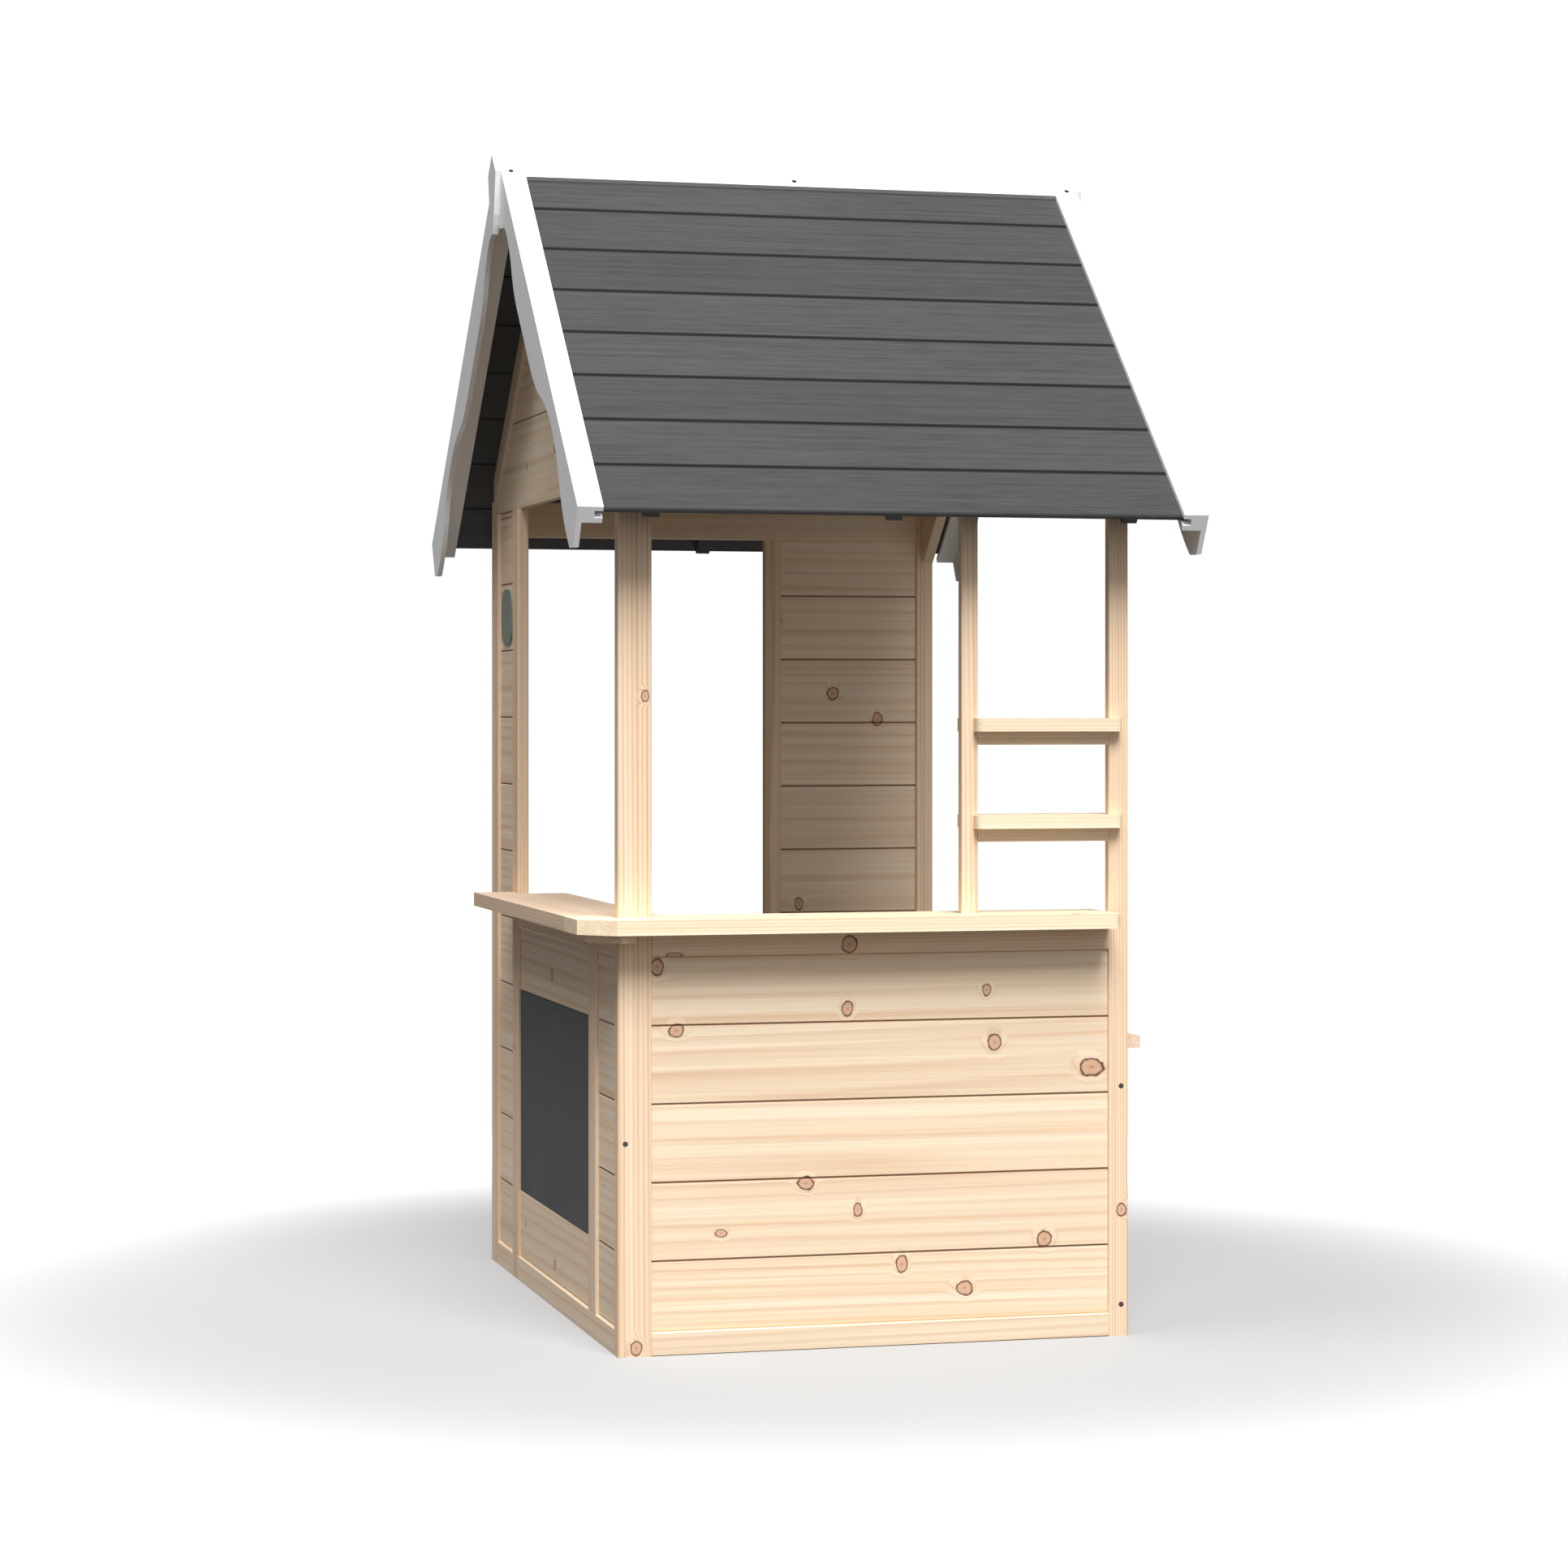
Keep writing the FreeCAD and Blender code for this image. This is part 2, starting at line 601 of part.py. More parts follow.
def right_gable():
    """Open gable with a deep rake board under each slope."""
    below = board_underside - size("rake_board_width")
    end = half_depth - size("frame_thickness")
    keep(slope_plate("right_rake_board_front", -end, 0, board_underside, below, RIGHT_WALL,
                     "frame_thickness"), "right_rake_board_front")
    keep(slope_plate("right_rake_board_rear", 0, end, board_underside, below, RIGHT_WALL,
                     "frame_thickness"), "right_rake_board_rear")


def slope_frame(item):
    """Lay an item that was built flat on the front slope: X along the ridge, Y up the slope."""
    item.Placement = FreeCAD.Placement(V(), FreeCAD.Rotation(V(1, 0, 0), size("roof_pitch")))
    item.setExpression("Placement.Rotation.Angle", bound("roof_pitch"))
    place(item, "0", f"{FRONT} - eave_overhang", "eave_height")
    return item


def front_half(name):
    """Everything in front of the ridge, wide and high enough for any roof piece."""
    return box(name, ("-house_width", "-2 * house_depth", "0"),
               ("2 * house_width", "2 * house_depth", "3 * eave_height"))


def mitred(name, item):
    """The item cut plumb at the ridge."""
    result = doc.addObject("Part::Common", name)
    result.Base = item
    result.Tool = front_half(f"{name}_half")
    return result


def both_slopes(name, item):
    """Keep the front piece and its mirror on the rear slope."""
    keep(item, f"{name}_front")
    keep(mirrored(f"{name}_rear", item, V(0, 1, 0)), f"{name}_rear")


def roof_boards():
    """Lengthwise boards on each slope; the last one is mitred at the ridge."""
    half_span = "(house_width / 2 + side_overhang - edge_batten_width + roof_board_tongue)"
    length = roof_run / math.cos(pitch)
    count = 1 + max(1, round((length - size("roof_first_seam")) / size("roof_board_cover")))
    boards = []
    for number in range(count):
        low = f"(roof_first_seam + {number - 1} * roof_board_cover + board_gap)" if number else "0"
        high = f"(roof_first_seam + {number} * roof_board_cover)" if number < count - 1 else SLOPE_LENGTH
        boards.append(beam(f"roof_board_{number + 1}", (f"-{half_span}", low, "-roof_board_thickness"),
                           (f"2 * {half_span}", f"{high} - {low}", "roof_board_thickness"), "board_bevel"))
    both_slopes("roof_boards", mitred("roof_boards", slope_frame(compound("roof_boards_flat", boards))))


def rafters():
    """Three rafters under each slope, over the walls and in the middle."""
    inset = "(house_width / 2 - frame_thickness - rafter_width)"
    places = [f"-{inset} - rafter_width", "-rafter_width / 2", inset]
    bars = [box(f"rafter_{number}", (x, "rafter_setback", "-roof_board_thickness - rafter_thickness"),
                ("rafter_width", SLOPE_LENGTH, "rafter_thickness"))
            for number, x in enumerate(places, 1)]
    both_slopes("rafters", mitred("rafters", slope_frame(compound("rafters_flat", bars))))


def eave_cut(along, above, foot):
    """End of a leaning eave cut that starts at a slope point and runs down to height foot."""
    y, z = on_slope(along, above)
    return y + (z - foot) * math.tan(math.radians(size("eave_cut_lean"))), foot


def edge_battens():
    """Grooved battens that hold the ends of the roof boards, with the lip cut away under the cap."""
    lip = size("edge_batten_lip")
    lower = lip - size("edge_batten_thickness")
    nose = -size("edge_batten_nose")
    lean = math.radians(size("roof_pitch") - size("eave_cut_lean"))
    tail = nose - size("edge_batten_thickness") * math.tan(lean)
    points = [on_slope(nose, lip), (0, slope_height(0, lip)), (0, slope_height(0, lower)),
              on_slope(tail, lower)]
    left_x = f"{LEFT} - side_overhang"
    blank = profile_body("edge_batten_blank", polygon(points), "YZ_Plane", "edge_batten_width",
                         (left_x, "0", "0"))
    groove_x = f"{LEFT} - side_overhang + edge_batten_width - roof_board_tongue - groove_clearance"
    groove = box("edge_batten_groove",
                 (groove_x, "-house_depth", "-roof_board_thickness - groove_clearance"),
                 ("edge_batten_width", "3 * house_depth",
                  "roof_board_thickness + 2 * groove_clearance"))
    seat = box("edge_batten_cap_seat", ("-house_width", f"{CAP_START} - groove_clearance", "0"),
               ("2 * house_width", "house_depth", "2 * edge_batten_lip"))
    tools = slope_frame(compound("edge_batten_tools", [groove, seat]))
    left = cut("edge_batten", blank, [tools])
    pair = compound("edge_battens", [left, mirrored("edge_batten_right", left, V(1, 0, 0))])
    both_slopes("edge_battens", pair)


def half_wave(start, end):
    """Two tangent arcs between a crest and a trough, both level with the slope at their ends."""
    run = abs(end[0] - start[0])
    rise = end[1] - start[1]
    radius = (run ** 2 + rise ** 2) / (4 * abs(rise))
    turn = 2 * math.atan2(abs(rise), run)
    step = math.copysign(1, end[0] - start[0])
    lift = math.copysign(radius * (1 - math.cos(turn / 2)), rise)
    reach = step * radius * math.sin(turn / 2)
    middle = ((start[0] + end[0]) / 2, (start[1] + end[1]) / 2)
    first = (start, (start[0] + reach, start[1] + lift), middle)
    second = (middle, (end[0] - reach, end[1] - lift), end)
    return [Part.Arc(*(V(*on_slope(*point), 0) for point in arc)) for arc in (first, second)]


def fascia(name):
    """Scalloped bargeboard of the front slope, outside the edge batten, drawn upwards from its foot."""
    lip = size("edge_batten_lip")
    eave_lobe = (size("fascia_eave_lobe_at"), -size("fascia_eave_lobe_depth"))
    low_scallop = (size("fascia_low_scallop_at"), -size("fascia_low_scallop_depth"))
    lobe_start = (low_scallop[0] + size("fascia_lobe_lower_sweep"), -size("fascia_lobe_depth"))
    ridge_depth = -size("fascia_ridge_lobe_depth")
    ridge_lobe = (ridge_along(ridge_depth) - size("fascia_ridge_flat") / math.cos(pitch), ridge_depth)
    high_scallop = (ridge_lobe[0] - size("fascia_ridge_sweep"), -size("fascia_high_scallop_depth"))
    lobe_end = (high_scallop[0] - size("fascia_lobe_upper_sweep"), -size("fascia_lobe_depth"))
    top = on_slope(-size("edge_batten_nose"), lip)
    outer_foot = eave_cut(-size("edge_batten_nose"), lip, size("eave_height") - size("fascia_foot_drop"))
    inner_foot = (outer_foot[0] + size("fascia_foot_width"), outer_foot[1])
    ridge_low = on_slope(*ridge_lobe)
    edges = []
    edges += half_wave(eave_lobe, low_scallop)
    edges += half_wave(low_scallop, lobe_start)
    edges.append(Part.LineSegment(V(*on_slope(*lobe_start), 0), V(*on_slope(*lobe_end), 0)))
    edges += half_wave(lobe_end, high_scallop)
    edges += half_wave(high_scallop, ridge_lobe)
    ends = [ridge_low, (0, ridge_low[1]), (0, slope_height(0, lip)), top, outer_foot, inner_foot,
            on_slope(*eave_lobe)]
    edges += [Part.LineSegment(V(*a, 0), V(*b, 0)) for a, b in zip(ends, ends[1:])]
    return profile_body(name, edges, "YZ_Plane", "fascia_thickness",
                        (f"{LEFT} - side_overhang - fascia_thickness", "0", "0"))


def fascias():
    left = fascia("fascia_left_front")
    keep(left, "fascia_left_front")
    rear = mirrored("fascia_left_rear", left, V(0, 1, 0))
    keep(rear, "fascia_left_rear")
    keep(mirrored("fascia_right_front", left, V(1, 0, 0)), "fascia_right_front")
    keep(mirrored("fascia_right_rear", rear, V(1, 0, 0)), "fascia_right_rear")


def finials():
    """Spear-shaped boards over the bargeboard joints."""
    tip = slope_height(0, size("edge_batten_lip"))
    wide = size("finial_half_width")
    waist = size("finial_waist_half_width")
    foot = size("finial_foot_half_width")
    right_side = [(wide, tip - wide * math.tan(pitch)), (waist, tip - size("finial_waist_drop")),
                  (foot, tip - size("finial_length"))]
    left_side = [(-y, z) for y, z in reversed(right_side)]
    left = profile_body("finial_left", polygon([(0, tip)] + right_side + left_side), "YZ_Plane",
                        "finial_thickness",
                        (f"{LEFT} - side_overhang - fascia_thickness - finial_thickness", "0", "0"))
    keep(left, "finial_left")
    keep(mirrored("finial_right", left, V(1, 0, 0)), "finial_right")


def ridge_cap():
    """A thin board along the top of each slope, screwed through the roof boards."""
    half_span = "(house_width / 2 + side_overhang)"
    screw_y = f"({CAP_START} + cap_screw_edge_inset)"
    outer_x = f"({half_span} - cap_screw_side_inset)"
    spots = [(f"-{outer_x}", screw_y, "edge_batten_lip"), ("0", screw_y, "edge_batten_lip"),
             (outer_x, screw_y, "edge_batten_lip")]
    down = V(0, 0, -1)
    blank = box("ridge_cap_blank", (f"-{half_span}", CAP_START, "0"),
                (f"2 * {half_span}", "2 * ridge_cap_width", "edge_batten_lip"))
    holes = [screw_hole(f"cap_hole_{number}", "edge_batten_lip", spot, down)
             for number, spot in enumerate(spots, 1)]
    flat = cut("ridge_cap", blank, holes)
    both_slopes("ridge_cap", mitred("ridge_cap_mitred", slope_frame(compound("ridge_cap_flat", [flat]))))
    screws = [screw(f"cap_screw_{number}", "edge_batten_lip", spot, down)
              for number, spot in enumerate(spots, 1)]
    front = slope_frame(compound("cap_screws_front", screws))
    pair = compound("cap_screws", [front, mirrored("cap_screws_rear", front, V(0, 1, 0))])
    keep(pair, "cap_screws")


def check_and_export():
    """Stop on any failed object, then write every sub-part to its own STEP file."""
    doc.recompute()
    failed = [item.Name for item in doc.Objects if {"Invalid", "Error"} & set(item.State)]
    if failed:
        raise RuntimeError(f"failed objects: {failed}")
    broken = [item.Label for item in nodes if item.Shape.isNull() or not item.Shape.isValid()]
    if broken:
        raise RuntimeError(f"bad shapes: {broken}")
    os.makedirs("parts", exist_ok=True)
    for item in nodes:
        item.Shape.exportStep(os.path.join("parts", f"{item.Label}.step"))
    print(f"{len(nodes)} sub-parts written")


front_posts()
front_wall()
counter()
counter_corner_plate()
shelf("shelf_lower", f"({COUNTER_TOP} + lower_shelf_rise)")
shelf("shelf_upper", f"({COUNTER_TOP} + lower_shelf_rise + upper_shelf_rise)")
left_low_panel()
left_tall_panel()
rear_wall()
right_wall()
left_gable()
right_gable()
roof_boards()
rafters()
edge_battens()
fascias()
finials()
ridge_cap()
check_and_export()
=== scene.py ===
"""Looks of the wooden market-stall playhouse: planed spruce walls and counter, a dark stained board roof,
white painted trim, a chalkboard panel and zinc-plated screws. Metres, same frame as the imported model:
-Y is the serving front, -X the chalkboard side, +Z up."""
import math

import bpy
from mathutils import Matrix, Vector


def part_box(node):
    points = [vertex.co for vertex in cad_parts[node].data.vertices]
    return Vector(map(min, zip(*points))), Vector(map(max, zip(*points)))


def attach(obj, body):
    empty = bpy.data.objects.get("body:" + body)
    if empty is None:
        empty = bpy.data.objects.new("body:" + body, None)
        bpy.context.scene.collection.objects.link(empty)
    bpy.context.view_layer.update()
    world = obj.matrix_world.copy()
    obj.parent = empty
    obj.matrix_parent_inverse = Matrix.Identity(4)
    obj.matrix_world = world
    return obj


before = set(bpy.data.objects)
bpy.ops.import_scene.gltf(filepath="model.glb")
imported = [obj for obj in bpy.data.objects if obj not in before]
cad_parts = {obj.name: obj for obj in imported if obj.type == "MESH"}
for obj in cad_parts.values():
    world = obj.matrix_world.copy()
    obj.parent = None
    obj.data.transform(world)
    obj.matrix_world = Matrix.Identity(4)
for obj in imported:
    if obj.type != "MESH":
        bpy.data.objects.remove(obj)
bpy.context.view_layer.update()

MM = 0.001
X, Y, Z = Vector((1, 0, 0)), Vector((0, 1, 0)), Vector((0, 0, 1))
ROOF_PITCH = math.radians(43)


# ---------------------------------------------------------------- tools

def linear(hex_colour):
    """RGBA in linear light for an sRGB hex colour."""
    channels = [int(hex_colour[i:i + 2], 16) / 255 for i in (1, 3, 5)]
    return [c / 12.92 if c <= 0.04045 else ((c + 0.055) / 1.055) ** 2.4 for c in channels] + [1.0]


def add(tree, kind, *values, links=None, stops=(), **settings):
    """Add a shader node: its settings, then its inputs in order, or by name with links. A node or a socket
    given as a value is linked; a hex colour or a number is set on the input itself. Stops are a ramp's
    places and colours, from low to high."""
    node = tree.nodes.new("ShaderNode" + kind)
    for setting, value in settings.items():
        setattr(node, setting, value)
    wanted = list(zip([socket for socket in node.inputs if socket.enabled], values))
    wanted += [(node.inputs[name], value) for name, value in (links or {}).items()]
    for socket, value in wanted:
        if isinstance(value, bpy.types.Node):
            value = next(output for output in value.outputs if output.enabled)
        if isinstance(value, bpy.types.NodeSocket):
            tree.links.new(value, socket)
        elif isinstance(value, str):
            socket.default_value = linear(value)
        else:
            socket.default_value = value
    for number, (position, colour) in enumerate(stops):
        ramp = node.color_ramp.elements
        stop = ramp[number] if number < len(ramp) else ramp.new(position)
        stop.position = position
        stop.color = linear(colour) if isinstance(colour, str) else (colour, colour, colour, 1.0)
    return node


def blank(name):
    """An empty material and its node tree."""
    material = bpy.data.materials.new(name)
    material.use_nodes = True
    material.node_tree.nodes.clear()
    return material, material.node_tree


def surface(tree, colour, roughness, height, relief, **constants):
    """The shader: colour and roughness from nodes, bump with its relief in metres, and the rest as numbers
    on the shader's own sockets."""
    bump = add(tree, "Bump", links={"Strength": 1.0, "Distance": relief, "Height": height})
    shader = add(tree, "BsdfPrincipled", links={"Base Color": colour, "Roughness": roughness, "Normal": bump})
    for socket, value in constants.items():
        shader.inputs[socket.replace("_", " ")].default_value = value
    add(tree, "OutputMaterial", links={"Surface": shader})


def dress(material, *nodes):
    """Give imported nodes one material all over."""
    for name in nodes:
        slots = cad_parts[name].data.materials
        slots.clear()
        slots.append(material)


# ---------------------------------------------------------------- planed spruce

RING_SPACING = 4.6 * MM
CLOSE_RINGS = 3.2 * MM  # on posts and other narrow pieces
FIBRE_WIDTH = 2.4 * MM  # real fibres are under a tenth of this, too fine to show
STREAK_WIDTH = 14 * MM
GROOVE_HALF = 0.7 * MM
PITH_ASIDE = (60 * MM, 170 * MM)
PITH_BEHIND = (25 * MM, 70 * MM)
PITH_SLANT = 0.005
RING_WANDER = 7 * MM
RING_DRIFT = (0.6, 14.0, 14.0)  # per metre: rings drift over 1.7 m along the grain and 70 mm across it
FIBRE_STRETCH, STREAK_STRETCH = 1.6, 0.6  # per metre along the grain
KNOT_RAGGEDNESS = 75.0  # per metre: dents about 13 mm apart round a knot
KNOT_PUSH = 4 * MM  # how far a knot shoves the rings round it aside
KNOT_CELL = (0.30, 0.13, 1.0)  # metres along and across the grain
KNOT_RADII = (0.05 * MM, 11 * MM)
BARE_SHEEN = (0.46, 0.66)
WOOD_RELIEF = 0.16 * MM

EARLYWOOD_PALE, EARLYWOOD_DEEP, LATEWOOD = "#F6E2C8", "#EBD0AF", "#D2A780"
KNOT_HALO, GROOVE_SHADE_BROWN = "#CC9C70", "#7A5233"
RING_STOPS = ((0.0, 0.0), (0.5, 0.05), (0.84, 1.0), (1.0, 0.0))
KNOT_STOPS = ((0.0, "#A87C60"), (0.2, "#D3A88A"), (0.7, "#DAB192"), (0.84, "#B0856A"), (0.93, "#3C2113"))


def knot_reach(tree, flat, knots):
    """How far a point is from the nearest knot, counted in that knot's own radii."""
    nearest = None
    for along, across, half_length, half_width in knots:
        offset = add(tree, "VectorMath", flat, (along * MM, across * MM, 0), operation="SUBTRACT")
        radii = add(tree, "VectorMath", offset, (1 / (half_length * MM), 1 / (half_width * MM), 0),
                    operation="MULTIPLY")
        reach = add(tree, "VectorMath", radii, operation="LENGTH")
        nearest = add(tree, "Math", nearest, reach, operation="MINIMUM") if nearest else reach
    return nearest


def scattered_reach(tree, flat, seed):
    """The same for knots that lie at random: about one in two cells of 300 by 130 mm has one."""
    scaled = add(tree, "VectorMath", flat, KNOT_CELL, operation="DIVIDE")
    moved = add(tree, "VectorMath", scaled, (seed * 3.7, seed * 1.9, 0), operation="ADD")
    cells = add(tree, "TexVoronoi", moved, links={"Scale": 1.0, "Randomness": 0.85}, voronoi_dimensions="2D")
    gap = add(tree, "VectorMath", moved, cells.outputs["Position"], operation="SUBTRACT")
    real = add(tree, "VectorMath", gap, KNOT_CELL, operation="MULTIPLY")
    distance = add(tree, "VectorMath", real, operation="LENGTH")
    chance = add(tree, "SeparateColor", cells.outputs["Color"])
    radius = add(tree, "MapRange", chance, 0.45, 1.0, *KNOT_RADII)
    return add(tree, "Math", distance, radius, operation="DIVIDE")


def spruce(name, grain, width, outwards, seam=0.0, cover=1000.0, grooved=False, knots=None, seed=0.0,
           shade=1.0, figure=0.52, rings=RING_SPACING, pale=EARLYWOOD_PALE, deep=EARLYWOOD_DEEP):
    """Knotty spruce, planed and left bare: pale earlywood with thin, darker latewood lines that come out
    in long arches where the saw passed beside the pith, round red-brown knots, and a silky low sheen.
    Board k of a wall starts at seam + k * cover, in millimetres, and is cut from its own place in the log.
    Shade is how bright the piece is, set above 1 for painted light and below 1 for painted shade, and figure
    how strong its grain."""
    material, tree = blank(name)
    place = add(tree, "TexCoord").outputs["Object"]
    along = add(tree, "VectorMath", place, grain, operation="DOT_PRODUCT")
    across = add(tree, "VectorMath", place, width, operation="DOT_PRODUCT")
    out = add(tree, "VectorMath", place, outwards, operation="DOT_PRODUCT")

    # which board, and a throw of three dice for it
    steps = add(tree, "MapRange", across, seam * MM, (seam + cover) * MM, 0.0, 1.0, clamp=False)
    number = add(tree, "Math", steps, operation="FLOOR")
    part_way = add(tree, "Math", steps, operation="FRACT")
    piece = add(tree, "ObjectInfo").outputs["Random"]
    key = add(tree, "Math", piece, 91.0, number, operation="MULTIPLY_ADD")
    keyed = add(tree, "Math", key, seed * 17.31 + 0.37, operation="ADD")
    dice = add(tree, "TexWhiteNoise", keyed, noise_dimensions="1D")
    throws = add(tree, "SeparateColor", dice.outputs["Color"])
    first, second, third = throws.outputs[0], throws.outputs[1], throws.outputs[2]

    # knots, with ragged rims
    flat = add(tree, "CombineXYZ", along, across, 0.0)
    ragged = add(tree, "TexNoise", flat, KNOT_RAGGEDNESS, 1.0)
    true_reach = knot_reach(tree, flat, knots) if knots else scattered_reach(tree, flat, seed + 1.0)
    reach = add(tree, "Math", true_reach, add(tree, "MapRange", ragged, 0.2, 0.8, 0.82, 1.18),
                operation="MULTIPLY")

    # growth rings round a pith that runs behind the board at a slight slant
    aside = add(tree, "MapRange", first, 0.0, 1.0, *PITH_ASIDE)
    behind = add(tree, "MapRange", second, 0.0, 1.0, *PITH_BEHIND)
    slant = add(tree, "MapRange", third, 0.0, 1.0, -PITH_SLANT, PITH_SLANT)
    middle = add(tree, "Math", part_way, 0.5, operation="SUBTRACT")
    own_across = add(tree, "Math", middle, cover * MM, operation="MULTIPLY") if grooved else across
    sideways = add(tree, "Math", own_across, aside, operation="ADD")
    far = add(tree, "Math", add(tree, "Math", slant, along, behind, operation="MULTIPLY_ADD"), out,
              operation="ADD")
    from_pith = add(tree, "VectorMath", add(tree, "CombineXYZ", sideways, far, 0.0), operation="LENGTH")
    own = add(tree, "CombineXYZ", add(tree, "Math", key, 3.1, operation="MULTIPLY"), key, key)
    solid = add(tree, "CombineXYZ", along, across, out)
    drifted = add(tree, "VectorMath", solid, RING_DRIFT, own, operation="MULTIPLY_ADD")
    slow = add(tree, "TexNoise", drifted, 1.0, 3.0)
    wandering = add(tree, "Math", slow, RING_WANDER, from_pith, operation="MULTIPLY_ADD")
    pushed = add(tree, "MapRange", reach, 0.8, 2.3, KNOT_PUSH, 0.0, interpolation_type="SMOOTHERSTEP")
    ringed = add(tree, "Math", wandering, pushed, operation="ADD")
    ring = add(tree, "Math", add(tree, "Math", ringed, rings, operation="DIVIDE"), operation="FRACT")
    late = add(tree, "ValToRGB", ring, stops=RING_STOPS)

    # fibres and broad streaks, both drawn out along the grain
    fibres_at = add(tree, "VectorMath", solid, (FIBRE_STRETCH, 1 / FIBRE_WIDTH, 1 / FIBRE_WIDTH),
                    operation="MULTIPLY")
    fibre = add(tree, "TexNoise", fibres_at, 1.0, 2.0)
    streaks_at = add(tree, "VectorMath", solid, (STREAK_STRETCH, 1 / STREAK_WIDTH, 1 / STREAK_WIDTH), own,
                     operation="MULTIPLY_ADD")
    streak = add(tree, "TexNoise", streaks_at, 1.0, 3.0)

    base = add(tree, "Mix", add(tree, "MapRange", streak, 0.3, 0.7), pale, deep, data_type="RGBA")
    strength = add(tree, "Math", late, add(tree, "MapRange", streak, 0.3, 0.75, 0.4 * figure, figure),
                   operation="MULTIPLY")
    grained = add(tree, "Mix", strength, base, LATEWOOD, data_type="RGBA")
    halo = add(tree, "MapRange", reach, 1.0, 1.5, 0.12, 0.0)
    haloed = add(tree, "Mix", halo, grained, KNOT_HALO, data_type="RGBA")
    knot = add(tree, "ValToRGB", reach, stops=KNOT_STOPS)
    inside = add(tree, "MapRange", reach, 0.96, 1.08, 1.0, 0.0)
    knotted = add(tree, "Mix", inside, haloed, knot, data_type="RGBA")
    # the bevelled grooves between boards are painted darker brown: painted shade in the joints
    if grooved:
        edge = add(tree, "Math", add(tree, "Math", middle, operation="ABSOLUTE"), cover * MM,
                   operation="MULTIPLY")
        half = cover / 2 * MM
        depth = add(tree, "MapRange", edge, half - 3.0 * GROOVE_HALF, half - GROOVE_HALF, 0.0, 0.8)
        knotted = add(tree, "Mix", depth, knotted, GROOVE_SHADE_BROWN, data_type="RGBA")
    board_tone = add(tree, "MapRange", third, 0.0, 1.0, shade * 0.82, shade * 0.91)
    tone = add(tree, "Math", fibre, 0.26, board_tone, operation="MULTIPLY_ADD")
    colour = add(tree, "HueSaturation", links={"Value": tone, "Color": knotted})
    height = add(tree, "Math", late, 0.5, fibre, operation="MULTIPLY_ADD")
    sheen = add(tree, "MapRange", fibre, 0.2, 0.8, *BARE_SHEEN)
    surface(tree, colour, sheen, height, WOOD_RELIEF, Specular_IOR_Level=0.4)
    return material


# knots, in millimetres: place along and across the grain, then half length and half width
FRONT_KNOTS = [(-335, 570, 10, 13), (-43, 599, 12, 13), (172, 527, 7, 9), (-45, 503, 9, 11),
               (-306, 476, 12, 10), (184, 448, 11, 13), (338, 407, 20, 13), (-109, 246, 12, 10),
               (-29, 204, 7, 10), (-238, 176, 9, 6), (263, 150, 12, 12), (39, 121, 9, 13), (137, 81, 13, 11)]
REAR_KNOTS = [(110, 1102, 8, 16), (212, 976, 11, 12), (294, 931, 9, 12), (150, 607, 8, 11),
              (-60, 420, 10, 9), (-170, 250, 9, 8), (60, 300, 8, 10), (240, 190, 12, 10),
              (330, 560, 8, 9), (20, 760, 9, 12)]
RAIL_KNOTS = [(-43, 599, 12, 13), (-310, 587, 13, 4)]
COUNTER_KNOTS = [(296, -560, 8, 9), (-120, -480, 9, 7), (330, 470, 8, 8)]
POST_KNOTS = [(13, -367, 11, 9), (967, -354, 9, 6), (191, 384, 10, 8)]

# boarded walls: height of the first joint and the cover of a board, in millimetres
FRONT_WALL, NARROW_WALL, TALL_WALL = (137.7, 115.2), (150.0, 110.7), (146.4, 112.6)
REAR_WALL, RIGHT_WALL, GABLE = (145.9, 111.3), (150.0, 112.0), (1282.0, 145.0)

up_front = Vector((0, math.cos(ROOF_PITCH), math.sin(ROOF_PITCH)))
up_rear = Vector((0, -math.cos(ROOF_PITCH), math.sin(ROOF_PITCH)))
across_front = Vector((0, -up_front.z, up_front.y))
across_rear = Vector((0, up_rear.z, -up_rear.y))

# boards, each wall with its own grain
dress(spruce("planed_spruce_front_boards", X, Z, -Y, *FRONT_WALL, True, FRONT_KNOTS, 1), "front_wall_boards")
dress(spruce("planed_spruce_rear_boards", X, Z, Y, *REAR_WALL, True, REAR_KNOTS, 2), "rear_boards")
dress(spruce("planed_spruce_narrow_boards", Y, Z, -X, *NARROW_WALL, True, None, 3),
      "left_narrow_boards", "left_low_board_lower", "left_low_board_upper")
dress(spruce("planed_spruce_tall_boards", Y, Z, -X, *TALL_WALL, True, None, 4), "left_tall_boards")
dress(spruce("planed_spruce_right_boards", Y, Z, X, *RIGHT_WALL, True, None, 5), "right_wall_boards")
dress(spruce("planed_spruce_gable_boards", Y, Z, -X, *GABLE, True, None, 6), "left_gable_boards")

# posts and stiles, sawn on the quarter: close, straight lines
quartered = {"rings": CLOSE_RINGS, "pale": "#F6DEC2", "deep": "#EBCBA8"}
dress(spruce("planed_spruce_posts", Z, X, -Y, knots=POST_KNOTS, seed=7, figure=1.0, **quartered),
      "front_left_post", "front_mid_post", "front_right_post")
dress(spruce("planed_spruce_uprights", Z, Y, -X, seed=8, figure=0.9, **quartered),
      "left_near_stile", "left_far_stile", "left_low_stile",
      "rear_left_post", "rear_right_post", "rear_door_stile")

